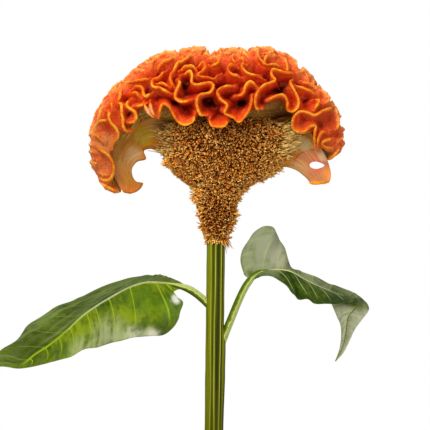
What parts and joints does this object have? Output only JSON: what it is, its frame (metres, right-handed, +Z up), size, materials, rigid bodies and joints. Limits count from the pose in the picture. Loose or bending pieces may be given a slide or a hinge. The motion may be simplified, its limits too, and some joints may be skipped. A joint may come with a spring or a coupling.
{
  "type": "potted cockscomb",
  "caption": "Crested cockscomb: a folded orange comb on a neck of golden florets, a ribbed green stem with broad leaves, in a plain clay pot of soil",
  "frame": {"origin": "centre of the pot's underside, where it rests", "axes": "+Z up along the stem, the comb's face looks along -Y, +X to the right seen from the front"},
  "size_m": [0.1958, 0.132, 0.3137],
  "materials": {
    "clay": "unglazed fired clay, matt",
    "soil": "dark crumbly potting soil",
    "stem": "smooth green stem with pale ribs, satin",
    "leaf": "thin green leaf with pale veins, glossy above",
    "floret": "dry golden bracts, slightly shiny",
    "comb": "velvety red-orange folds with bright yellow-orange rims"
  },
  "bodies": {
    "root": {"pot": "clay", "soil": "soil", "stem": "stem", "leaf_left": "leaf", "leaf_right": "leaf", "florets": "floret", "crest": "comb"}
  },
  "joints": []
}
